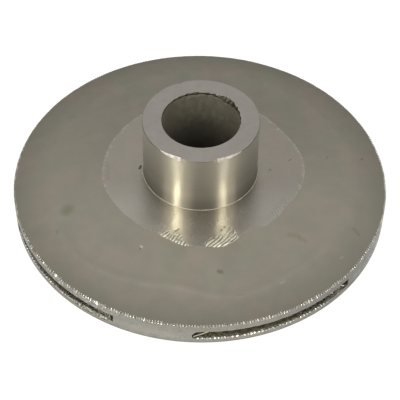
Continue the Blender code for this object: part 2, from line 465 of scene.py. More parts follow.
    def marked(self, base, marks, height):
        """A colour with marks laid over it: (azimuth, mm) of both ends, half width in mm, share, colour."""
        for az, r, far_az, far_r, width, share, colour in marks:
            start = (az, r * MM, height(r * MM))
            end = (far_az, far_r * MM, height(far_r * MM))
            spread = self.combined(self.stroke(start, end, width * MM), share, "MULTIPLY")
            base = self.blend(spread, base, colour)
        return base

    def colour(self, value):
        self.feed(self.shader, "Base Color", value)

    def roughness(self, value):
        self.feed(self.shader, "Roughness", value)

    def uneven(self, cell, detail, low, high):
        """Roughness between two values, blotched by noise."""
        self.roughness(self.graded(self.noise(cell, detail), 0.3, 0.7, low, high))

    def raise_by(self, value, depth):
        """Adds a height pattern of the given depth to the bump."""
        node = self.add("ShaderNodeBump")
        node.inputs["Strength"].default_value = 1.0
        node.inputs["Distance"].default_value = depth
        self.feed(node, "Height", value)
        if self.height:
            self.feed(node, "Normal", self.height)
        self.height = node.outputs["Normal"]
        self.feed(self.shader, "Normal", self.height)

    def grooved_round(self):
        """Stretches highlights across grooves that run round the axis: the tangent, turned a quarter."""
        tangent = self.add("ShaderNodeTangent", direction_type="RADIAL", axis="Z")
        self.feed(self.shader, "Tangent", tangent.outputs["Tangent"])
        self.shader.inputs["Anisotropic Rotation"].default_value = 0.25


# The share of a mark's half width over which it fades out, and the marks' colours
MARK_SOFTNESS = 0.7
OLIVE = (0.29, 0.29, 0.18)
SOOT = (0.16, 0.14, 0.10)
BARE = (0.80, 0.77, 0.68)
STAIN = (0.05, 0.04, 0.02)
# Marks on the cast cone: azimuth and radius of both ends, half width in mm, share and colour
CAST_MARKS = [(-67.6, 56.6, -67.0, 57.6, 3.2, 0.5, OLIVE), (8.3, 53.4, 9.3, 53.8, 1.2, 0.5, SOOT),
              (-28.3, 47.2, -27.7, 47.4, 0.7, 0.8, BARE), (-28.0, 48.4, -27.8, 48.5, 0.45, 0.7, SOOT),
              (28.9, 64.5, 30.4, 64.4, 0.6, 0.2, BARE), (45.6, 49.1, 48.3, 51.7, 1.6, 0.3, OLIVE),
              (48.0, 53.0, 48.6, 55.2, 1.3, 0.3, OLIVE), (65.4, 67.1, 64.1, 70.1, 0.9, 0.2, SOOT),
              (52.1, 69.8, 53.1, 70.0, 0.6, 0.2, BARE), (13.0, 64.4, 15.4, 64.6, 0.5, 0.2, SOOT),
              (-60.2, 64.4, -59.2, 64.8, 0.9, 0.4, OLIVE), (99.1, 52.6, 100.1, 53.6, 0.5, 0.4, SOOT),
              (98.9, 67.6, 99.9, 68.8, 0.5, 0.4, SOOT)]
# Marks on the turned land, the same way
LAND_MARKS = [(-90.8, 24.2, -87.5, 24.7, 0.75, 0.8, STAIN), (97.6, 36.7, 98.6, 37.5, 0.4, 0.6, SOOT),
              (88.0, 28.0, 89.4, 28.8, 0.35, 0.6, SOOT), (-131.8, 39.0, -131.0, 39.8, 0.4, 0.6, SOOT)]
# Runs of faint ticks near the land's edge: first and last azimuth, count, inner and outer radius in mm
TICK_RUNS = [(-93.0, -80.0, 6, 36.9, 38.6), (44.0, 62.0, 9, 36.6, 39.0)]
# How many degrees further round a tick's inner end is than its outer end
TICK_LEAN = 2.4


def cone_level(r):
    """The even height of the cast cone at a radius."""
    return BACK_RIM_Z + (LAND_Z - BACK_RIM_Z) * (OUTER_RADIUS - r) / (OUTER_RADIUS - LAND_RADIUS)


def land_level(r):
    """The height of the land, the same at every radius."""
    return LAND_Z


def cast_face():
    """Blasted as-cast steel: warm grey, mottled olive and pink, darker towards the rim, painted darker in
    front as shade, with a fine grain.
    """
    mix = Recipe("cast_face", 0.47)
    base = mix.mottle(14 * MM, 3, (0.462, 0.455, 0.366), (0.512, 0.452, 0.380), 0.38, 0.62)
    base = mix.mottle(5 * MM, 3, base, (0.435, 0.408, 0.342), most=0.5)
    base = mix.dimmed(base, mix.graded(mix.radius(), 62 * MM, 75 * MM, 1.0, 0.80))
    # Painted shade: the cone's colour is darker towards the front
    base = mix.faded(base, "Y", -70 * MM, -25 * MM, 0.88, 1.0)
    mix.colour(mix.marked(base, CAST_MARKS, cone_level))
    mix.uneven(9 * MM, 3, 0.43, 0.52)
    mix.raise_by(mix.noise(0.9 * MM, 3), 0.03 * MM)
    mix.raise_by(mix.noise(0.25 * MM, 2), 0.01 * MM)
    return mix.material


def machined_face():
    """The flat land: lathe grooves round the axis, so that it mirrors the hub as a drawn-out streak."""
    mix = Recipe("machined_face", 0.26, anisotropic=0.85)
    mix.grooved_round()
    base = mix.mottle(9 * MM, 3, (0.535, 0.51, 0.42), (0.58, 0.512, 0.45), 0.38, 0.62)
    base = mix.blend(mix.graded(mix.rings(0.5 * MM), 0.3, 0.7, 0.0, 0.35), base, (0.47, 0.435, 0.365))
    # Painted light: the land's front is painted paler, where it mirrors the hub
    painted_front_light = mix.graded(mix.level("Y"), -24 * MM, -8 * MM, 1.0, 0.0)
    base = mix.blend(painted_front_light, base, (0.665, 0.632, 0.56))
    # Painted shade: the land is darker towards +X
    base = mix.faded(base, "X", 16 * MM, 30 * MM, 0.98, 0.91)
    base = mix.marked(base, LAND_MARKS, land_level)
    ticks = [(az, outer, az + TICK_LEAN, inner, 0.28, 0.22, SOOT)
             for first, last, count, inner, outer in TICK_RUNS for az in np.linspace(first, last, count)]
    mix.colour(mix.marked(base, ticks, land_level))
    mix.uneven(6 * MM, 3, 0.24, 0.29)
    mix.raise_by(mix.rings(0.3 * MM), 0.003 * MM)
    return mix.material


def land_edge_face():
    """The strip along the land's edge, where the tool ran out on the casting: paler and less glossy."""
    mix = Recipe("land_edge_face", 0.45)
    mix.colour(mix.mottle(1.5 * MM, 3, (0.50, 0.475, 0.40), (0.63, 0.60, 0.51), 0.38, 0.62))
    mix.raise_by(mix.noise(0.7 * MM, 3), 0.02 * MM)
    return mix.material


def fresh_cuts_painted_glints():
    """The chatter's cut flanks, painted bright as glints: rough enough to shine from every side."""
    mix = Recipe("fresh_cuts_painted_glints", 0.6)
    mix.colour(mix.mottle(0.9 * MM, 2, (0.84, 0.81, 0.66), (1.0, 0.98, 0.84)))
    mix.uneven(1.3 * MM, 2, 0.48, 0.68)
    mix.raise_by(mix.noise(0.5 * MM, 2), 0.05 * MM)
    return mix.material


def grooves_painted_shade():
    """The bottoms of the chatter's cuts, painted dark as shade."""
    mix = Recipe("grooves_painted_shade", 0.5)
    mix.colour(mix.mottle(0.9 * MM, 2, (0.14, 0.13, 0.10), (0.28, 0.265, 0.22)))
    return mix.material


def painted_foot_highlight():
    """A painted highlight along the fillet in the corner at the hub's foot."""
    mix = Recipe("painted_foot_highlight", 0.62)
    mix.colour(mix.mottle(2.5 * MM, 2, (0.56, 0.53, 0.41), (0.78, 0.74, 0.59), 0.35, 0.65))
    return mix.material


def turned_chamfer():
    """The hub's outer chamfer: a worn cut that shines softly, with brighter specks."""
    mix = Recipe("turned_chamfer", 0.56)
    mix.colour(mix.mottle(0.9 * MM, 3, (0.36, 0.335, 0.31), (0.48, 0.45, 0.41)))
    mix.uneven(1.2 * MM, 3, 0.48, 0.64)
    mix.raise_by(mix.noise(0.6 * MM, 3), 0.02 * MM)
    return mix.material


def polished_wall():
    """The hub's turned wall: fine level grooves that stretch a highlight up and down.

    It is brightest halfway up, and rougher in the last few millimetres above the foot, where its colour is
    also painted darker as shade. Its +X side is painted darker as shade too.
    """
    mix = Recipe("polished_wall", 0.36, anisotropic=1.0)
    mix.grooved_round()
    grooves = mix.noise((60 * MM, 60 * MM, 0.22 * MM), 3)
    base = mix.blend(mix.graded(grooves, 0.3, 0.7), (0.42, 0.39, 0.32), (0.468, 0.437, 0.367))
    # Painted shade: darker towards +X
    base = mix.faded(base, "X", 14 * MM, 19 * MM, 0.96, 0.82)
    # Painted shade: darker in the last few millimetres above the foot
    mix.colour(mix.faded(base, "Z", LAND_Z + 3 * MM, LAND_Z + 8 * MM, 0.80, 1.0))
    even = mix.graded(mix.noise((30 * MM, 30 * MM, 1.5 * MM), 3), 0.3, 0.7, 0.285, 0.325)
    above = mix.graded(mix.level(), LAND_Z + 12 * MM, LAND_Z + 21 * MM, 0.0, 0.085)
    below = mix.graded(mix.level(), LAND_Z + 3 * MM, LAND_Z + 8 * MM, 0.06, 0.0)
    mix.roughness(mix.combined(even, mix.combined(above, below)))
    mix.raise_by(grooves, 0.004 * MM)
    return mix.material


def faced_end():
    """The hub's faced end: neutral and matte, with faint rings and warm stains."""
    mix = Recipe("faced_end", 0.42, anisotropic=0.15)
    mix.grooved_round()
    base = mix.mottle(5 * MM, 3, (0.54, 0.50, 0.455), (0.58, 0.54, 0.49))
    base = mix.mottle(3 * MM, 3, base, (0.50, 0.45, 0.37), 0.55, 0.75, 0.5)
    # Painted shade: all of it below the face itself, the narrow chamfer, is painted dark
    mix.colour(mix.faded(base, "Z", HUB_TOP_Z - 0.03 * MM, HUB_TOP_Z - 0.01 * MM, 0.25, 1.0))
    mix.uneven(3 * MM, 3, 0.38, 0.48)
    mix.raise_by(mix.rings(0.35 * MM), 0.004 * MM)
    mix.raise_by(mix.noise(0.5 * MM, 3), 0.006 * MM)
    return mix.material


def bore_wall():
    """Bore inside: dull, pale at the mouth, painted darker further in as shade, darker to the front, streaked
    and pitted.
    """
    mix = Recipe("bore_wall", 0.6)
    # Painted shade: darker further down the bore
    inner = mix.blend(mix.graded(mix.level(), 25 * MM, 40 * MM), (0.13, 0.12, 0.095), (0.35, 0.33, 0.265))
    base = mix.blend(mix.graded(mix.level(), 40 * MM, 54 * MM), inner, (0.52, 0.49, 0.40))
    base = mix.dimmed(base, mix.graded(mix.noise((8 * MM, 8 * MM, 3 * MM), 3), 0.3, 0.7, 0.95, 1.05))
    mix.colour(mix.faded(base, "Y", -6 * MM, 13 * MM, 0.62, 1.0))
    mix.uneven(2 * MM, 3, 0.56, 0.64)
    mix.raise_by(mix.noise((0.9 * MM, 0.9 * MM, 1.5 * MM), 3), 0.01 * MM)
    return mix.material


def broken_mouth():
    """The chipped edge of the bore's mouth: painted dark as shade in the chips, with a few bright grains."""
    mix = Recipe("broken_mouth", 0.5)
    # Painted shade: the chips are painted dark
    base = mix.mottle(0.8 * MM, 3, (0.045, 0.042, 0.033), (0.13, 0.123, 0.10), 0.35, 0.65)
    mix.colour(mix.mottle(0.5 * MM, 2, base, BARE, 0.66, 0.72, 0.7))
    mix.raise_by(mix.noise(0.6 * MM, 3), 0.05 * MM)
    return mix.material


def turned_wall():
    """The rim's and the neck's turned walls: satin, with fine level grooves, soft stains and a painted darker
    top.

    The top is scratched bare over the left slot. Painted shade also darkens the bottom edge and all below it,
    the wall away from the front, and its +X side.
    """
    mix = Recipe("turned_wall", 0.36, anisotropic=0.4)
    mix.grooved_round()
    grooves = mix.noise((40 * MM, 40 * MM, 0.3 * MM), 3)
    base = mix.blend(mix.graded(grooves, 0.3, 0.7), (0.32, 0.308, 0.275), (0.365, 0.352, 0.315))
    base = mix.mottle(4 * MM, 3, base, (0.27, 0.262, 0.235), 0.45, 0.7, 0.5)
    base = mix.mottle(0.7 * MM, 3, base, (0.17, 0.165, 0.145), 0.5, 0.75, 0.5)
    # Painted shade: darker towards the top
    base = mix.faded(base, "Z", 18 * MM, 22 * MM, 1.0, 0.85)
    base = mix.mottle(2.4 * MM, 3, base, (0.33, 0.28, 0.20), 0.5, 0.72, 0.45)
    # Painted shade: darker at the bottom edge and everything below it, which takes in the neck
    base = mix.faded(base, "Z", FRONT_RIM_Z + 0.4 * MM, FRONT_RIM_Z + 0.9 * MM, 0.6, 1.0)
    base = mix.faded(base, "Z", FRONT_RIM_Z + 1.0 * MM, FRONT_RIM_Z + 3.4 * MM, 0.84, 1.0)
    # Painted shade: darker away from the front, and darker towards +X
    base = mix.faded(base, "Y", -0.96 * OUTER_RADIUS, -0.66 * OUTER_RADIUS, 1.0, 0.72)
    base = mix.faded(base, "X", 0.3 * OUTER_RADIUS, 0.9 * OUTER_RADIUS, 1.0, 0.74)
    scratched = mix.graded(mix.noise(1.1 * MM, 3), 0.5, 0.62)
    limits = [("Z", 20, 23, 0.0, 0.6), ("X", -66, -54, 0.0, 1.0), ("X", -38, -26, 1.0, 0.0)]
    for axis, low, high, start, end in limits:
        share = mix.graded(mix.level(axis), low * MM, high * MM, start, end)
        scratched = mix.combined(scratched, share, "MULTIPLY")
    mix.colour(mix.blend(scratched, base, BARE))
    mix.uneven(3 * MM, 3, 0.32, 0.46)
    mix.raise_by(grooves, 0.006 * MM)
    mix.raise_by(mix.noise(0.8 * MM, 3), 0.05 * MM)
    return mix.material


def bright_edge():
    """Freshly cut edges: bright chips and chatter."""
    mix = Recipe("bright_edge", 0.24)
    mix.colour(mix.mottle(0.8 * MM, 2, (0.62, 0.60, 0.53), (0.88, 0.86, 0.79)))
    mix.uneven(0.6 * MM, 2, 0.18, 0.34)
    mix.raise_by(mix.noise(0.5 * MM, 3), 0.12 * MM)
    return mix.material


def tip_casting(name, dark, pale):
    """The casting at the slots: mottled from dark to pale, with bright specks where sand broke away."""
    mix = Recipe(name, 0.45, metallic=0.6)
    base = mix.mottle(0.9 * MM, 4, dark, pale, 0.38, 0.62)
    mix.colour(mix.mottle(0.6 * MM, 2, base, (0.88, 0.86, 0.78), 0.60, 0.68))
    mix.uneven(0.8 * MM, 3, 0.32, 0.55)
    mix.raise_by(mix.noise(0.6 * MM, 4), 0.18 * MM)
    return mix.material


def rough_casting():
    """The passages' sand-cast skin: brown and olive, coarse and dull."""
    mix = Recipe("rough_casting", 0.55, metallic=0.6)
    mix.colour(mix.mottle(1.5 * MM, 4, (0.15, 0.135, 0.09), (0.29, 0.265, 0.19), 0.35, 0.65))
    mix.uneven(0.8 * MM, 3, 0.4, 0.62)
    mix.raise_by(mix.noise(0.7 * MM, 4), 0.14 * MM)
    return mix.material


# The hub

HUB_COLUMNS = 480
# Chips out of the bore's mouth and nicks in the hub's outer edge, as (azimuth, width in degrees, depth in mm)
MOUTH_CHIPS = [(141, 8, 1.3), (128, 5, 0.8), (118, 4, 0.6), (108, 3, 0.3), (158, 5, 0.5), (171, 4, 0.4),
               (-172, 5, 0.5), (-160, 4, 0.45), (-148, 3, 0.3), (-138, 3, 0.25), (95, 2.5, 0.2),
               (84, 2, 0.15)]
EDGE_NICKS = [(-24, 1.0, 0.12), (18, 1.2, 0.15), (-158, 2.2, 0.5)]


def bitten(az, bites):
    """How far an edge is bitten back at each azimuth: a bell curve for each bite."""
    degrees = np.degrees(az)
    apart = [(degrees - centre + 180) % 360 - 180 for centre, _, _ in bites]
    return sum(depth * MM * bell(gap, width) for gap, (_, width, depth) in zip(apart, bites))


def hub_boss(wall, faced, bore, cast, chamfer, line, mouth):
    """The whole hub, from the nose in the eye up to the faced end, with the bore through it.

    The outer chamfer is a small break of the edge, cut wider and brighter in two places in front, where it
    has its own finish; elsewhere the narrow chamfer is painted dark as shade.
    """
    az = around(HUB_COLUMNS)
    hidden, on_wall, on_face, on_bore, on_chamfer, on_foot_highlight, on_mouth = range(7)
    degrees = np.degrees(az)
    left_cut = smooth(-46, -24, degrees) * (1 - smooth(-20, -16, degrees))
    right_cut = smooth(13, 17, degrees) * (1 - smooth(22, 46, degrees))
    cut = HUB_CHAMFER * (0.2 + 1.05 * (left_cut + right_cut))
    fillet_z = ROOF_Z - NOSE_FILLET
    foot = (HUB_RADIUS + HUB_FILLET, LAND_Z + HUB_FILLET)
    ragged = grain(place(BORE_RADIUS, az, 0.0), 0.8 * MM, 5)
    chips = bitten(az, MOUTH_CHIPS) * (1 + 0.2 * ragged) + 0.04 * MM * (1 + ragged)
    nicks = bitten(az, EDGE_NICKS) + 0.03 * MM * (1 + grain(place(HUB_RADIUS, az, 0.0), 3 * MM, 7))
    outline = Outline(BORE_RADIUS, NOSE_END_Z)
    outline.line(NOSE_RADIUS - NOSE_CHAMFER, NOSE_END_Z, hidden, 4)
    outline.line(NOSE_RADIUS, NOSE_END_Z + NOSE_CHAMFER, hidden, 2)
    outline.line(NOSE_RADIUS, fillet_z, hidden, 6)
    outline.arc((NOSE_RADIUS + NOSE_FILLET, fillet_z), NOSE_FILLET, 180, 90, hidden, 10)
    outline.line(NOSE_RADIUS + NOSE_FILLET + SUNK, ROOF_Z + SUNK, hidden)
    outline.line(foot[0] + SUNK, LAND_Z - SUNK, hidden)
    outline.line(foot[0], LAND_Z, on_wall)
    # The fillet's lower part carries the painted highlight
    outline.arc(foot, HUB_FILLET, 270, 235, on_foot_highlight, 4)
    outline.arc(foot, HUB_FILLET, 235, 180, on_wall, 4)
    outline.line(HUB_RADIUS, HUB_TOP_Z - cut - nicks, on_wall, 24)
    # Where the chamfer stays narrow it takes the faced end's finish, painted dark there as shade
    bright_cut = np.where(left_cut + right_cut > 0.06, on_chamfer, on_face)
    outline.line(HUB_RADIUS - cut - nicks, HUB_TOP_Z, bright_cut, 3)
    # The mouth's edge is broken a little all round, and a chip runs down the bore further than it is wide
    outline.line(BORE_RADIUS + 0.08 * MM + chips, HUB_TOP_Z, on_face, 6)
    outline.line(BORE_RADIUS + 0.55 * chips, HUB_TOP_Z - 0.1 * MM - 0.6 * chips, on_mouth, 2)
    outline.line(BORE_RADIUS, HUB_TOP_Z - 0.4 * MM - 1.4 * chips, on_mouth, 3)
    outline.line(BORE_RADIUS, NOSE_END_Z + 0.5 * MM, on_bore, 34)
    in_bore = outline.row_mask(on_bore)
    in_mouth = outline.row_mask(on_mouth)

    def relief(points):
        broken = in_mouth * smooth(0.1 * MM, 0.5 * MM, chips) * 0.12 * MM * rough_grain(points, 0.8 * MM, 23)
        return broken + in_bore * 0.02 * MM * rough_grain(points, 1.6 * MM, 21)

    piece = ring_piece("hub_boss", outline, az, [cast, wall, faced, bore, chamfer, line, mouth], relief)
    return finished(piece, "polished_steel", "hub", "hub_nose")


# The land and the back face

LAND_COLUMNS = 1440
CONE_COLUMNS = 1080
CONE_ROWS = 52
# The chatter's cuts: spacing, lean, the band that holds them, its rows, and how deep a cut is that gets
# painted glint and shade
CHATTER_PITCH = 1.3 * MM
CHATTER_LEAN = math.radians(50.0)
CHATTER_BAND = 10 * MM
CHATTER_ROWS = 36
FRESH_DEPTH = 0.035 * MM
# Width of the pale strip along the land's edge
EDGE_STRIP = 1.3 * MM
# The cast cone meets the land's edge this much lower, so that the land lies on top
UNDER_LAND = 0.003 * MM


def cuts(r, az):
    """The phase in radians and the depth of the tool's slanted cuts in the last few millimetres of the land.

    The phase grows with the distance square to the cuts, which all lean the same way, and slow noise bends
    them. Fine noise sets how deep each one is and where it starts.
    """
    flat = place(r, az, 0.0)
    across = flat[..., 0] * math.sin(CHATTER_LEAN) - flat[..., 1] * math.cos(CHATTER_LEAN)
    phase = 2 * math.pi * across / CHATTER_PITCH + 2.0 * grain(flat, 3 * MM, 31)
    reach = closed_curve(CHATTER_REACH, az) * (0.8 + 0.5 * grain(flat, 1.4 * MM, 33))
    depth = np.maximum(closed_curve(CHATTER_DEPTH, az), 0.0) * (0.70 + 0.62 * grain(flat, 1.5 * MM, 35))
    return phase, depth * smooth(0.0, 1.5 * MM, r - closed_curve(LAND_EDGE, az) + reach)


def chatter(r, az):
    """The relief of the cuts, a wave and its double, and of the land's edge, which they break down."""
    phase, depth = cuts(r, az)
    wave = np.sin(phase) + 0.4 * np.sin(2 * phase + 0.9) - 0.4
    return wave * depth - broken_edge(az) * smooth(-0.9 * MM, 0.0, r - closed_curve(LAND_EDGE, az))


def land_finish(r, az):
    """The land's finish: a deep cut's flank with painted glints or groove with painted shade, the edge's
    strip, or plain.

    The strip is ragged, and all but lost in front.
    """
    phase, depth = cuts(r, az)
    on_face, on_strip, on_flank, on_groove = 0, 2, 3, 4
    ragged = 0.75 + 0.9 * grain(place(r, az, 0.0), 1.1 * MM, 37)
    width = EDGE_STRIP * ragged * (1 - 0.85 * span(az, -70, 52, 16))
    finish = np.where(r > closed_curve(LAND_EDGE, az) - width, on_strip, on_face)
    # Painted glints on the deep cuts' flanks and painted shade in their grooves
    finish = np.where((depth > FRESH_DEPTH) & (np.sin(phase) > -0.25), on_flank, finish)
    return np.where((depth > FRESH_DEPTH) & (np.sin(phase) < -0.6), on_groove, finish)


def machined_land(face, cast, strip, flank, groove):
    """The flat turned land round the hub, whose edge wanders where it runs out on the uneven casting.

    The rows under the chatter lie closer together towards the edge.
    """
    az = around(LAND_COLUMNS)
    edge = closed_curve(LAND_EDGE, az)
    inner = HUB_RADIUS + 0.2 * MM
    on_face, on_cast = 0, 1
    outline = Outline(inner, ROOF_Z + 2 * MM)
    outline.line(edge - 2 * MM, LAND_Z - 2 * MM, on_cast)
    outline.line(edge + 0.3 * MM, LAND_Z - 0.25 * MM - broken_edge(az), on_cast)
    rows = [edge - CHATTER_BAND * share for share in np.linspace(0.0, 1.0, CHATTER_ROWS) ** 1.15]
    finishes = [on_cast] + [land_finish(r, az) for r in rows[1:]]
    outline.curve(rows, [LAND_Z + chatter(r, az) for r in rows], finishes)
    outline.line(inner, LAND_Z, on_face, 4)
    piece = ring_piece("machined_land", outline, az, [face, cast, strip, flank, groove])
    return finished(piece, "polished_steel", "back_shroud")


def back_cone(cast, rough):
    """The cast back face from the land to the rim strip, and the passages' roof under it."""
    az = around(CONE_COLUMNS)
    edge = closed_curve(LAND_EDGE, az)
    inner = NOSE_RADIUS + NOSE_FILLET
    on_back, on_roof = 0, 1
    outline = Outline(inner, ROOF_Z)
    outline.line(SEAM, ROOF_Z, on_roof, 24)
    outline.line(SEAM + SUNK, ROOF_Z + SUNK, on_back)
    outline.line(SEAM + SUNK, BACK_RIM_Z - 2 * SUNK, on_back)
    rows = [edge + (SEAM - edge) * share for share in np.linspace(1.0, 0.0, CONE_ROWS)]
    heights = [cone_height(r, az) for r in rows]
    heights[-1] = heights[-1] - UNDER_LAND
    outline.curve(rows, heights, on_back)
    outline.line(edge - 0.4 * MM, LAND_Z - 0.3 * MM, on_back)
    outline.line(edge - 3 * MM, LAND_Z - 3 * MM, on_back)
    outline.line(inner - SUNK, ROOF_Z + 2 * MM, on_back)
    roof = outline.row_mask(on_roof)

    def relief(points):
        return roof * SKIN_RELIEF * rough_grain(points, SKIN_CELL, 41)

    piece = ring_piece("back_cone", outline, az, [cast, rough], relief)
    return finished(piece, "cast_steel", "back_shroud")


# The rim

RIM_COLUMNS = 2160
# Tool marks round the top edge and the slots' lower lips: teeth in a full turn, and their depth
EDGE_TEETH = 420
EDGE_BITE = 0.88 * MM
LIP_TEETH = 330
LIP_BITE = 0.60 * MM
# How far the left slot's lower lip is broken back in its scar
SCAR_WIDTH = 0.75 * MM


def slot_opening(az, margin):
    """1 where the rim is open between two vanes, and 0 at their tips and along a margin beside them."""
    open_share = np.zeros_like(az)
    soft = math.radians(1.2)
    for number in range(VANE_COUNT):
        end = vane_start(number + 1)
        start = vane_start(number) + RIM_SPREAD
        middle = (start + end) / 2
        half = (end - start) / 2 - margin / OUTER_RADIUS
        away = np.abs((az - middle + math.pi) % (2 * math.pi) - math.pi)
        open_share = np.maximum(open_share, 1 - smooth(half - soft, half, away))
    return open_share


def cut_marks(az, count, seed):
    """Tool marks round an edge, from 0 to 1: teeth of changing height, and a few broad uneven bites."""
    on_rim = place(OUTER_RADIUS, az, 0.0)
    teeth = 0.5 + 0.5 * np.sin(count * az + 2.2 * grain(on_rim, 4 * MM, seed))
    height = 0.72 + 0.28 * grain(on_rim, 1.3 * MM, seed + 1)
    bites = np.maximum(grain(on_rim, 3.5 * MM, seed + 2), 0.0)
    return np.clip(teeth * height + 0.3 * bites, 0.0, 1.0)


def back_rim(wall, cut, cast, rough):
    """The back disc's edge: chattered top chamfer, turned wall and the slots' upper lips.

    The chatter runs together into dashes over the left slot, and is shallower round the back.
    """
    az = around(RIM_COLUMNS)
    on_rim = place(OUTER_RADIUS, az, 0.0)
    dashes = smooth(0.1, 0.45, grain(on_rim, 2.4 * MM, 57)) * span(az, -56, -20, 6)
    marks = np.maximum(cut_marks(az, EDGE_TEETH, 51), 0.6 * dashes)
    width = 0.05 * MM + EDGE_BITE * marks * (0.45 + 0.55 * span(az, -125, 125, 20))
    ragged = 0.14 * MM + 0.16 * MM * rough_grain(on_rim, 0.9 * MM, 55)
    lip = 0.01 * MM + np.maximum(ragged, 0.0) * slot_opening(az, 2.0 * MM)
    on_wall, on_cut, on_cast, on_rough = range(4)
    outline = Outline(SEAM - SUNK, ROOF_Z + SUNK)
    outline.line(SEAM, ROOF_Z, on_rough)
    outline.line(OUTER_RADIUS - lip, ROOF_Z, on_rough, 4)
    outline.line(OUTER_RADIUS, ROOF_Z + lip, on_rough)
    outline.line(OUTER_RADIUS, BACK_RIM_Z - width, on_wall, 6)
    top = OUTER_RADIUS - width
    outline.line(top, cone_height(top, az), np.where(marks > 0.42, on_cut, on_wall), 4)
    rows = [top + (SEAM - top) * share for share in (0.33, 0.66, 1.0)]
    outline.curve(rows, [cone_height(r, az) for r in rows], on_cast)
    outline.line(SEAM - SUNK, BACK_RIM_Z - SUNK, on_cast)
    piece = ring_piece("back_rim", outline, az, [wall, cut, cast, rough])
    return finished(piece, "turned_steel", "back_shroud")


def front_rim(wall, cut, cast, rough):
    """The front disc's edge: small lower chamfer, turned wall and the slots' broken lips.

    The left slot's lip is dull, and broken down in a long rough scar at its right end.
    """
    az = around(RIM_COLUMNS)
    on_wall, on_cut, on_cast, on_rough = range(4)
    marks = cut_marks(az, LIP_TEETH, 61) * (1 - 0.8 * span(az, 39, 50, 2))
    scar = span(az, -40, -24.6, 4)
    bitten_lip = 0.04 * MM + LIP_BITE * marks * (1 - 0.6 * scar)
    lip = 0.01 * MM + bitten_lip * slot_opening(az, 1.0 * MM) + SCAR_WIDTH * scar
    lip_finish = np.where((marks > 0.62) & (span(az, -86, -24, 1) < 0.5), on_cut, on_rough)
    outline = Outline(SEAM - SUNK, FRONT_RIM_Z + SUNK)
    outline.line(SEAM, under_height(SEAM), on_cast)
    outline.line(OUTER_RADIUS - RIM_CHAMFER, FRONT_RIM_Z, on_cast, 2)
    outline.line(OUTER_RADIUS, FRONT_RIM_Z + RIM_CHAMFER, on_wall, 2)
    outline.line(OUTER_RADIUS, FLOOR_Z - lip, on_wall, 6)
    shares = (0.2, 0.4, 0.6, 0.8)
    steps = [place(OUTER_RADIUS - lip * share, az, FLOOR_Z - lip * (1 - 0.9 * share)) for share in shares]
    sunk = [scar * 0.22 * MM * (1 + rough_grain(step, 0.8 * MM, 65)) for step in steps]
    outline.curve([OUTER_RADIUS - lip * share - low for share, low in zip(shares, sunk)],
                  [step[:, 2] - low for step, low in zip(steps, sunk)], lip_finish)
    outline.line(OUTER_RADIUS - lip, FLOOR_Z - 0.1 * lip, lip_finish)
    outline.line(SEAM, floor_height(SEAM), on_rough, 3)
    outline.line(SEAM - SUNK, FLOOR_Z - SUNK, on_rough)
    on_lip = outline.row_mask(on_cut, on_rough)

    def relief(points):
        return on_lip * scar * 0.14 * MM * rough_grain(points, 0.8 * MM, 67)

    piece = ring_piece("front_rim", outline, az, [wall, cut, cast, rough], relief)
    return finished(piece, "turned_steel", "front_shroud")


# The front disc and the neck

FRONT_COLUMNS = 900
UNDER_ROWS = 26
# How far in from the rim the floor's finish changes behind the slots
SCAR_DEPTH = 4 * MM


def front_cone(cast, rough, mottled, olive):
    """The front disc inside its rim: as-cast outside, rough passage floor inside.

    The floor is mottled dark as painted shade at the right ends of both front slots, rougher behind the scar
    in the left lip, and olive at the left end of the right slot.
    """
    az = around(FRONT_COLUMNS)
    scar = span(az, -44, -20, 5)
    touch_r = throat()[2]
    on_cast, on_rough, on_painted_shade_floor, on_olive = range(4)
    outline = Outline(NECK_RADIUS, under_height(NECK_RADIUS))
    outline.line(SEAM, under_height(SEAM), on_cast, UNDER_ROWS)
    outline.line(SEAM + SUNK, FRONT_RIM_Z + SUNK, on_cast)
    outline.line(SEAM + SUNK, FLOOR_Z - 2 * SUNK, on_cast)
    outline.line(SEAM, floor_height(SEAM), on_rough)
    # Painted shade: the dark slot casting on the floor at the slots' right ends
    right_end = np.maximum(scar, span(az, 28, 50, 2)) > 0.1
    left_end = span(az, -4, 8, 2) > 0.1
    outer_floor = np.where(right_end, on_painted_shade_floor, np.where(left_end, on_olive, on_rough))
    outline.line(SEAM - SCAR_DEPTH, floor_height(SEAM - SCAR_DEPTH), outer_floor, 12)
    outline.line(touch_r, floor_height(touch_r), on_rough, 24)
    outline.line(touch_r - SUNK, floor_height(touch_r) - 2 * SUNK, on_cast)
    outline.line(NECK_RADIUS - 2 * SUNK, under_height(NECK_RADIUS) + SUNK, on_cast)
    on_floor = outline.row_mask(on_rough, on_painted_shade_floor, on_olive)
    row = np.arange(len(outline.radii))[:, None]
    underneath = (row > 1) & (row < UNDER_ROWS - 1)

    def relief(points):
        waves = 0.06 * MM * rough_grain(points, 9 * MM, 71) * underneath
        pits = 0.25 * MM * rough_grain(points, 0.9 * MM, 77) * scar
        return waves + on_floor * (SKIN_RELIEF * rough_grain(points, SKIN_CELL, 73) + pits)

    piece = ring_piece("front_cone", outline, az, [cast, rough, mottled, olive], relief)
    return finished(piece, "cast_steel", "front_shroud")


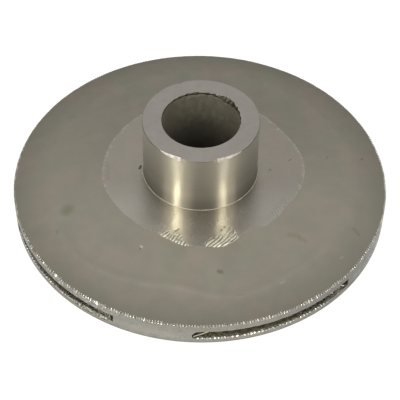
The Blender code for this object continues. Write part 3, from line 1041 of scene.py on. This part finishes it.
def neck_ring(wall, rough):
    """The turned ring round the eye, and the throat that leads over into the passages."""
    az = around(FRONT_COLUMNS)
    centre_r, centre_z, touch_r = throat()
    on_wall, on_rough = 0, 1
    outline = Outline(EYE_RADIUS + NECK_CHAMFER, 0.0)
    outline.line(NECK_RADIUS - NECK_CHAMFER, 0.0, on_wall, 4)
    outline.line(NECK_RADIUS, NECK_CHAMFER, on_wall, 2)
    outline.line(NECK_RADIUS, under_height(NECK_RADIUS) + SUNK, on_wall, 10)
    outline.line(touch_r, floor_height(touch_r) - 3 * SUNK, on_wall)
    outline.line(touch_r, floor_height(touch_r), on_rough)
    outline.arc((centre_r, centre_z), THROAT_RADIUS, 96, 180, on_rough, 12)
    outline.line(EYE_RADIUS, NECK_CHAMFER, on_rough, 8)
    on_throat = outline.row_mask(on_rough)

    def relief(points):
        return on_throat * 0.06 * MM * rough_grain(points, 1.8 * MM, 75)

    piece = ring_piece("neck_ring", outline, az, [wall, rough], relief)
    return finished(piece, "turned_steel", "suction_neck")


# The vanes

VANE_ROWS = 220
VANE_LAYERS = 16
VANE_COLUMNS = 22
# Behind the rim a vane reaches this far into the roof and the floor
VANE_OVERLAP = 0.3 * MM
# How far in from the rim a vane's faces have the dark slot casting, painted shade
TIP_DEPTH = 4.5 * MM
# Two vanes' left corners are broken out behind the rim: width in radians and depth
BROKEN_CORNERS = {0: (math.radians(1.5), 1.8 * MM), 1: (math.radians(3.9), 3.6 * MM)}
CORNER_ROWS = 25
# Webs of casting flash at two slots' ends: both ends as (azimuth, height), thickness and reach inward
FLASHES = {"flash_by_vane_1": ((-1.2, 17.5 * MM), (3.6, 20.9 * MM), 0.45 * MM, 2.4 * MM),
           "flash_by_vane_2": ((48.4, 17.7 * MM), (46.2, 20.8 * MM), 0.5 * MM, 1.6 * MM)}


def vane_start(number):
    """The azimuth in radians where a vane's left face reaches the rim."""
    turn = 2 * math.pi * number / VANE_COUNT
    return FIRST_VANE_START + turn + CORE_SHIFT[number % VANE_COUNT]


def vane_turn(r):
    """How far a vane has swept back between a radius and the rim: a parabola in the logarithm of r."""
    whole = math.log(OUTER_RADIUS / LEAD_RADIUS)
    inward = np.log(OUTER_RADIUS / r)
    return RIM_COT * inward + (EYE_COT - RIM_COT) * inward**2 / (2 * whole)


def vane_spread(r):
    """Angle between a vane's two faces: it grows evenly with radius, from a rounded leading edge."""
    share = (r - LEAD_RADIUS) / (OUTER_RADIUS - LEAD_RADIUS)
    inset = np.clip((r - LEAD_RADIUS) / LEAD_NOSE_LENGTH, 0.0, 1.0)
    rounding = np.sqrt(1.0 - (1.0 - inset) ** 2)
    spread = EYE_SPREAD + (RIM_SPREAD - EYE_SPREAD) * share
    return spread * (LEAD_BLUNTNESS + (1.0 - LEAD_BLUNTNESS) * rounding)


def flare(r, height):
    """How far a vane's face spreads, as a length along the circle, into the fillets at roof and floor.

    Each fillet is a quarter ellipse: its height is a share of the passage's, and its reach along the
    circle is its radius divided by the sine of the blade angle.
    """
    inward = np.log(OUTER_RADIUS / r) / math.log(OUTER_RADIUS / LEAD_RADIUS)
    cot = RIM_COT + (EYE_COT - RIM_COT) * inward
    oblique = np.sqrt(1.0 + cot**2)
    lead = smooth(0.0, 5 * MM, r - LEAD_RADIUS)
    up = np.clip((height - (1.0 - ROOF_FLARE[1])) / ROOF_FLARE[1], 0.0, 1.0)
    down = np.clip((FLOOR_FLARE[1] - height) / FLOOR_FLARE[1], 0.0, 1.0)
    roof = ROOF_FLARE[0] * (1.0 - np.sqrt(1.0 - up**2))
    floor = FLOOR_FLARE[0] * (1.0 - np.sqrt(1.0 - down**2))
    return (roof + floor) * oblique * lead


def broken_corner(number, share, height, z):
    """Points along a broken-out left corner, as share goes from 0 at the rim to 1 on the vane's own face.

    The path has three equal legs: straight in along the far wall, back along the bottom to a slanting edge,
    and out to the face. The edge slants from floor to roof by height, and stands where the face would be.
    """
    width, depth = BROKEN_CORNERS[number]
    start = vane_start(number)
    edge = start - width * (0.5 + 0.5 * height)
    face_r = OUTER_RADIUS * np.exp(-(start - edge) / RIM_COT)
    far, near = math.radians(0.1), math.radians(0.3)
    legs = [np.clip(3 * share - leg, 0.0, 1.0) for leg in range(3)]
    az = start + far * legs[0] + (edge + near - start - far) * legs[1] - near * legs[2]
    r = OUTER_RADIUS - depth * legs[0] + (face_r - OUTER_RADIUS + depth) * legs[2]
    return place(r, az, z)


def vane(number, rough, wall, tip):
    """One vane: a block of rows inward, layers upward and columns across, with rough, filleted faces.

    A point's azimuth is the vane's middle at its radius plus its share of the spread and fillets; the
    outermost row lies on the rim.
    """
    row = (np.arange(VANE_ROWS + 1) / VANE_ROWS) ** 1.6
    r = (OUTER_RADIUS - (OUTER_RADIUS - LEAD_RADIUS) * row)[:, None, None]
    layer = np.linspace(0.0, 1.0, VANE_LAYERS + 1)[None, :, None]
    across = np.linspace(-1.0, 1.0, VANE_COLUMNS + 1)[None, None, :]
    inside = r < OUTER_RADIUS - 1e-6
    slant = np.clip((THROAT_LEAD_RADIUS - r) / (THROAT_LEAD_RADIUS - LEAD_RADIUS), 0.0, 1.0)
    floor = floor_height(np.maximum(r, THROAT_LEAD_RADIUS))
    low = floor + (ROOF_Z - LEAD_DEPTH - floor) * slant - VANE_OVERLAP * inside * (slant <= 0)
    high = ROOF_Z + VANE_OVERLAP * inside
    z = low + (high - low) * layer
    height = np.clip((z - floor) / (ROOF_Z - floor), 0.0, 1.0)
    middle = vane_start(number) + RIM_SPREAD / 2 - vane_turn(r)
    half = vane_spread(r) / 2 + flare(r, height) / r
    az = middle + half * across
    skin = place(r, az, z)
    bumps = 0.16 * MM * rough_grain(skin, 1.7 * MM, 81 + number)
    at_edge = np.abs(across) ** 8 * np.sign(across) * smooth(0.0, 4 * MM, r - LEAD_RADIUS)
    az = az + at_edge * bumps / r * 2.2
    points = place(r, az, z)
    if number in BROKEN_CORNERS:
        share = np.arange(CORNER_ROWS)[:, None] / (CORNER_ROWS - 1)
        corner = slice(0, CORNER_ROWS)
        points[corner, :, 0] = broken_corner(number, share, height[corner, :, 0], z[corner, :, 0])
    near_rim = np.count_nonzero(r > OUTER_RADIUS - TIP_DEPTH)
    piece = block_piece(f"swept_vane_{number + 1}", points, [rough, wall, tip], near_rim)
    return finished(piece, "rough_cast_steel", f"vane_{number + 1}")


def casting_flash(name, skin):
    """A thin web of metal left by the mould, straight inward from a line between two places on the rim.

    The web is a block: rows inward, layers along the line and columns across it, with the thickness taken
    square to the line on the unrolled rim.
    """
    start, end, thickness, reach = FLASHES[name]
    inward = np.linspace(0.4 * MM, reach, 9)[:, None, None]
    along = np.linspace(0.0, 1.0, 17)[None, :, None]
    across = np.linspace(-0.5, 0.5, 4)[None, None, :]
    run = OUTER_RADIUS * math.radians(end[0] - start[0])
    rise = end[1] - start[1]
    length = math.hypot(run, rise)
    arc = OUTER_RADIUS * math.radians(start[0]) + run * along + across * thickness * rise / length
    z = start[1] + rise * along - across * thickness * run / length
    arc, z, r = np.broadcast_arrays(arc, z, OUTER_RADIUS - inward)
    rough = 0.12 * MM * grain(place(r, arc / OUTER_RADIUS, z), 0.7 * MM, 91)
    points = place(r, (arc + rough) / OUTER_RADIUS, z)
    return finished(block_piece(name, points, [skin, skin, skin], 0), "rough_cast_steel")


def block_piece(name, points, materials, near_rows):
    """The closed surface of a block of points: its six sides.

    The first row's side has the second material, the sides' first rows the third, and the rest the first.
    """
    rows, layers, columns = points.shape[:3]
    index = np.arange(rows * layers * columns).reshape(rows, layers, columns)

    def side(face, turned_over):
        quads = np.stack([face[:-1, :-1], face[1:, :-1], face[1:, 1:], face[:-1, 1:]], axis=-1).reshape(-1, 4)
        return quads[:, ::-1] if turned_over else quads

    sides = [side(index[0], True), side(index[-1], False), side(index[:, 0], False), side(index[:, -1], True),
             side(index[:, :, 0], True), side(index[:, :, -1], False)]
    quads = np.concatenate(sides)
    by_row = np.where(np.arange(rows - 1) < near_rows, 2, 0)
    finish = [np.ones(len(sides[0]), int), np.zeros(len(sides[1]), int)]
    finish += [np.repeat(by_row, len(side_quads) // (rows - 1)) for side_quads in sides[2:]]
    used, renumbered = np.unique(quads, return_inverse=True)
    points = points.reshape(-1, 3)[used]
    return write_mesh(name, points, renumbered.reshape(-1, 4), materials, np.concatenate(finish))


# The studio

CAMERA_ELEVATION = math.radians(46.40)
CAMERA_DISTANCE = 6.86546 * OUTER_RADIUS
CAMERA_YAW = math.radians(-0.0127)
CAMERA_PITCH = math.radians(-1.0012)
CAMERA_ROLL = math.radians(0.9887)
LENS = 114.48
SENSOR = 36.0
# Softboxes: azimuth in degrees, distance, width and watts. Each side has a large one with a bright core
SOFTBOXES = {"left_softbox": (-44, 1.1, 0.86, 2.8), "left_core": (-44, 1.05, 0.11, 3.7),
             "right_softbox": (50, 1.1, 0.60, 1.9), "right_core": (44.5, 1.05, 0.10, 2.3)}
SOFTBOX_ELEVATION = math.radians(38)
SOFTBOX_HEIGHT = 0.60
WARM_LIGHT = (1.0, 0.975, 0.87)
# The room's brightness towards two directions, given by their height, where 1 is straight up
ROOM_STOPS = [(0.30, 0.21), (0.62, 0.52)]
FLOOR_REACH = 2.0


def camera():
    """Aimed at the middle of the rim's upper edge, then turned by its small yaw, pitch and roll."""
    aim = Vector((0.0, 0.0, BACK_RIM_Z))
    back = Vector((0.0, -math.cos(CAMERA_ELEVATION), math.sin(CAMERA_ELEVATION)))
    right = Vector((1.0, 0.0, 0.0))
    axes = Matrix((right, back.cross(right), back)).transposed()
    turned = Matrix.Rotation(CAMERA_YAW, 3, "Y") @ Matrix.Rotation(CAMERA_PITCH, 3, "X")
    turned = turned @ Matrix.Rotation(CAMERA_ROLL, 3, "Z")
    data = bpy.data.cameras.new("camera")
    data.lens = LENS
    data.sensor_width = SENSOR
    data.clip_start = 0.01
    made = bpy.data.objects.new("camera", data)
    made.matrix_world = Matrix.Translation(aim + back * CAMERA_DISTANCE) @ (axes @ turned).to_4x4()
    bpy.context.scene.collection.objects.link(made)
    bpy.context.scene.camera = made


def softbox(name):
    """A warm rectangular light that faces the part."""
    az, distance, width, watts = SOFTBOXES[name]
    data = bpy.data.lights.new(name, "AREA")
    data.shape = "RECTANGLE"
    data.size = width
    data.size_y = SOFTBOX_HEIGHT
    data.energy = watts
    data.color = WARM_LIGHT
    made = bpy.data.objects.new(name, data)
    out, up = distance * math.cos(SOFTBOX_ELEVATION), distance * math.sin(SOFTBOX_ELEVATION)
    spot = Vector(place(out, math.radians(az), up).tolist())
    aim = Vector((0.0, 0.0, LAND_Z))
    made.location = spot + aim
    made.rotation_euler = (-spot).to_track_quat("-Z", "Y").to_euler()
    bpy.context.scene.collection.objects.link(made)


def room():
    """A dim grey room that brightens overhead."""
    world = bpy.data.worlds.new("room")
    world.use_nodes = True
    tree = world.node_tree
    where = tree.nodes.new("ShaderNodeTexCoord")
    parts = tree.nodes.new("ShaderNodeSeparateXYZ")
    ramp = tree.nodes.new("ShaderNodeValToRGB")
    tree.links.new(where.outputs["Generated"], parts.inputs[0])
    tree.links.new(parts.outputs["Z"], ramp.inputs[0])
    for stop, (height, brightness) in zip(ramp.color_ramp.elements, ROOM_STOPS):
        stop.position = height
        stop.color = (brightness, brightness, brightness, 1.0)
    tree.links.new(ramp.outputs["Color"], tree.nodes["Background"].inputs["Color"])
    bpy.context.scene.world = world


def white_floor():
    """A sheet of paper that glows white, with a painted shadow: the glow fades out close round the neck."""
    corners = [(x * FLOOR_REACH, y * FLOOR_REACH, 0.0) for x, y in ((-1, -1), (1, -1), (1, 1), (-1, 1))]
    mesh = bpy.data.meshes.new("floor")
    mesh.from_pydata(corners, [], [(0, 1, 2, 3)])
    paper = Recipe("white_floor", 0.9, metallic=0.0)
    paper.shader.inputs["Base Color"].default_value = (0.35, 0.35, 0.35, 1.0)
    paper.shader.inputs["Emission Color"].default_value = (1.0, 1.0, 1.0, 1.0)
    # Painted shadow: less glow under the part
    glow_with_painted_shadow = paper.graded(paper.radius(), 35 * MM, 55 * MM, 0.05, 0.80)
    paper.feed(paper.shader, "Emission Strength", glow_with_painted_shadow)
    mesh.materials.append(paper.material)
    floor = bpy.data.objects.new("floor", mesh)
    bpy.context.scene.collection.objects.link(floor)


def build():
    """Every finish, then every piece, then the camera and the studio."""
    cast = cast_face()
    land = machined_face()
    strip = land_edge_face()
    flank = fresh_cuts_painted_glints()
    groove = grooves_painted_shade()
    line = painted_foot_highlight()
    mouth = broken_mouth()
    chamfer = turned_chamfer()
    polished = polished_wall()
    faced = faced_end()
    bore = bore_wall()
    turned = turned_wall()
    cut = bright_edge()
    rough = rough_casting()
    tip = tip_casting("lip_casting", (0.16, 0.158, 0.135), (0.52, 0.515, 0.47))
    # Painted shade: a darker copy of the slots' casting, for the floor at slot ends and the vanes' faces near
    # the rim
    inside = tip_casting("slot_casting_painted_shade", (0.04, 0.039, 0.028), (0.23, 0.225, 0.18))
    olive = tip_casting("olive_casting", (0.10, 0.10, 0.045), (0.33, 0.32, 0.17))
    hub_boss(polished, faced, bore, cast, chamfer, line, mouth)
    machined_land(land, cast, strip, flank, groove)
    back_cone(cast, rough)
    back_rim(turned, cut, cast, tip)
    front_rim(turned, cut, cast, tip)
    front_cone(cast, rough, inside, olive)
    neck_ring(turned, rough)
    for number in range(VANE_COUNT):
        vane(number, rough, turned, inside)
    for name in FLASHES:
        casting_flash(name, strip)
    camera()
    for name in SOFTBOXES:
        softbox(name)
    room()
    white_floor()
    bpy.context.scene.view_settings.view_transform = "Standard"


build()
